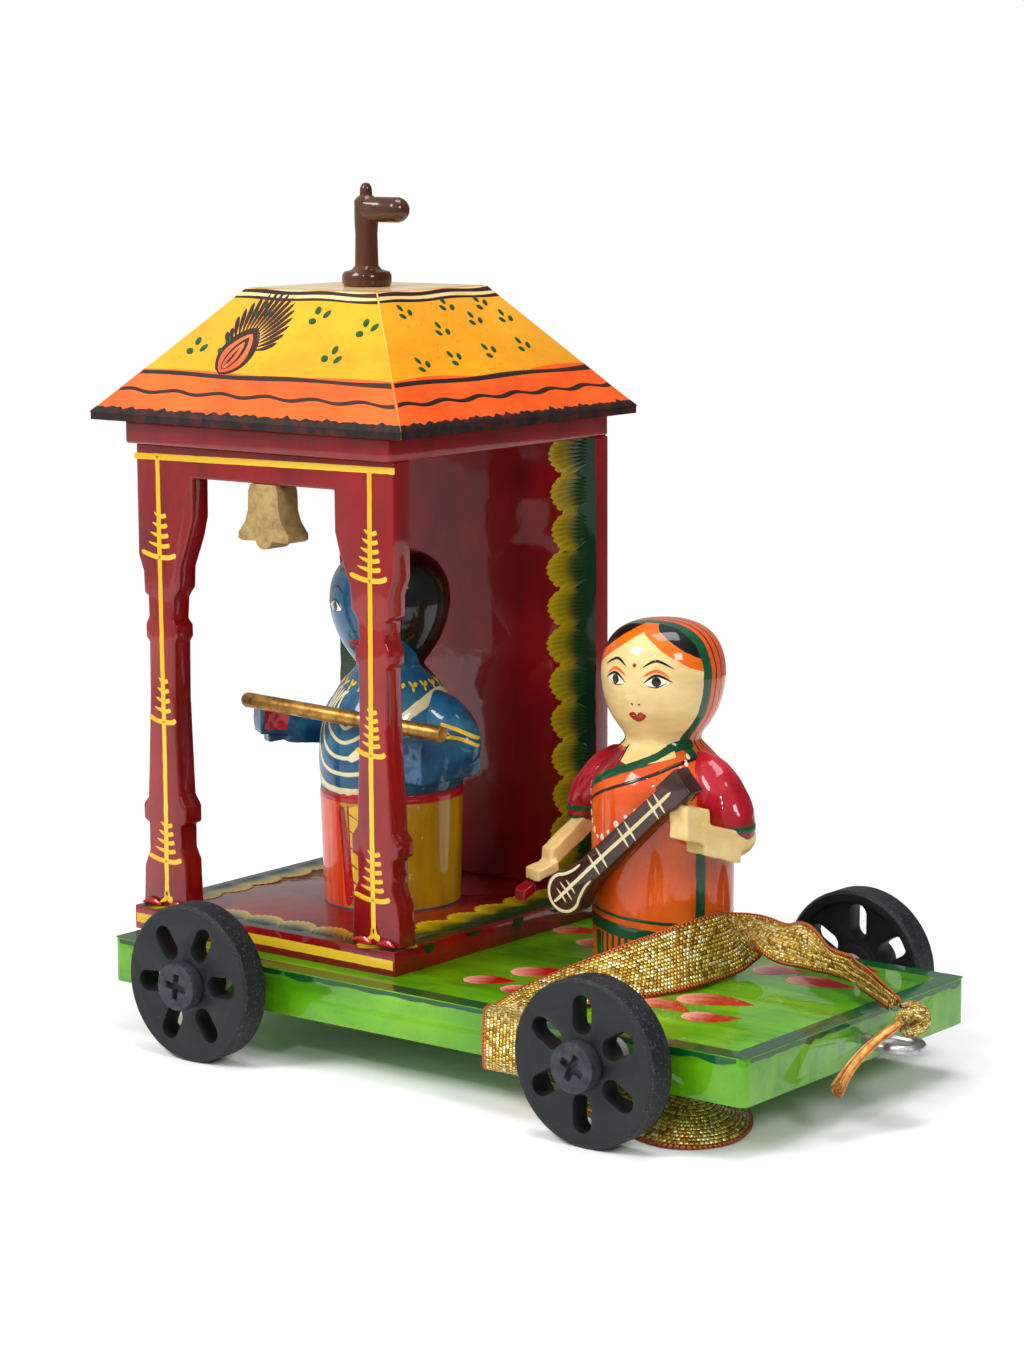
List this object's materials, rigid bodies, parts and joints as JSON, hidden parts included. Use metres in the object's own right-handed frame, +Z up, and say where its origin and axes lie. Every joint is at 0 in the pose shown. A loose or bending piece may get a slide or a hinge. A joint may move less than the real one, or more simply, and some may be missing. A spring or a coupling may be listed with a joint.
{
  "type": "pull-along toy",
  "caption": "Painted wooden pull-along toy: wheeled board carrying an open pavilion with a hipped roof, a turned flute player, a turned lute player and a gold pull ribbon.",
  "frame": {"origin": "centre of the overall footprint, at floor level under the wheels", "axes": "+X is the pulling direction, +Y towards the closed wall of the pavilion, +Z up"},
  "size_m": [0.2366, 0.1368, 0.2284],
  "materials": {
    "green_lacquer": "glossy lacquer over brushed bright green paint with a dark green border",
    "crimson_lacquer": "glossy crimson lacquer with yellow lines",
    "yellow_lacquer": "glossy yellow lacquer with an orange eave band",
    "brown_lacquer": "glossy brown lacquer",
    "gold_paint": "dull gold paint on sawn or turned wood",
    "blue_lacquer": "glossy blue lacquer with painted dress",
    "orange_lacquer": "glossy orange lacquer with painted dress",
    "skin_lacquer": "glossy cream lacquer with crimson sleeves",
    "black_wheel": "slate-black moulded wheel with lightly chafed edges",
    "blackened_steel": "blackened screw",
    "pale_plastic": "plain moulded bush",
    "plain_steel": "plain zinc-plated steel",
    "bare_wood": "bare dowel",
    "gold_weave": "open gold metallic weave with copper selvedges",
    "copper_weave": "frayed copper and gold threads"
  },
  "bodies": {
    "body": {"base_board": "green_lacquer", "pavilion_floor": "crimson_lacquer", "arch_frame": "crimson_lacquer", "back_wall": "crimson_lacquer", "ceiling_board": "crimson_lacquer", "roof": "yellow_lacquer", "flag_finial": "brown_lacquer", "bell": "gold_paint", "flute_player": "blue_lacquer", "flute_player_right_arm": "blue_lacquer", "flute_player_left_arm": "blue_lacquer", "flute": "gold_paint", "lute_player": "orange_lacquer", "lute_player_right_arm": "skin_lacquer", "lute_player_left_arm": "skin_lacquer", "lute": "brown_lacquer", "axle_screw_front_right": "blackened_steel", "axle_screw_front_left": "blackened_steel", "axle_screw_rear_right": "blackened_steel", "axle_screw_rear_left": "blackened_steel", "spacer_front_right": "pale_plastic", "spacer_front_left": "pale_plastic", "spacer_rear_right": "pale_plastic", "spacer_rear_left": "pale_plastic", "pavilion_nails": "plain_steel", "doll_screws": "plain_steel", "finial_peg": "bare_wood", "pull_eye": "plain_steel", "ribbon": "gold_weave", "ribbon_knot": "gold_weave", "ribbon_tail": "copper_weave"},
    "wheel_front_right": {"wheel_front_right": "black_wheel"},
    "wheel_front_left": {"wheel_front_left": "black_wheel"},
    "wheel_rear_right": {"wheel_rear_right": "black_wheel"},
    "wheel_rear_left": {"wheel_rear_left": "black_wheel"}
  },
  "joints": [
    {"name": "wheel_front_right_spin", "type": "hinge", "parent": "body", "child": "wheel_front_right", "pos_m": [0.06335, -0.0598, 0.021], "axis": [0, 1, 0], "continuous": true},
    {"name": "wheel_front_left_spin", "type": "hinge", "parent": "body", "child": "wheel_front_left", "pos_m": [0.06335, 0.0598, 0.021], "axis": [0, 1, 0], "continuous": true},
    {"name": "wheel_rear_right_spin", "type": "hinge", "parent": "body", "child": "wheel_rear_right", "pos_m": [-0.06665, -0.0598, 0.021], "axis": [0, 1, 0], "continuous": true},
    {"name": "wheel_rear_left_spin", "type": "hinge", "parent": "body", "child": "wheel_rear_left", "pos_m": [-0.06665, 0.0598, 0.021], "axis": [0, 1, 0], "continuous": true}
  ]
}
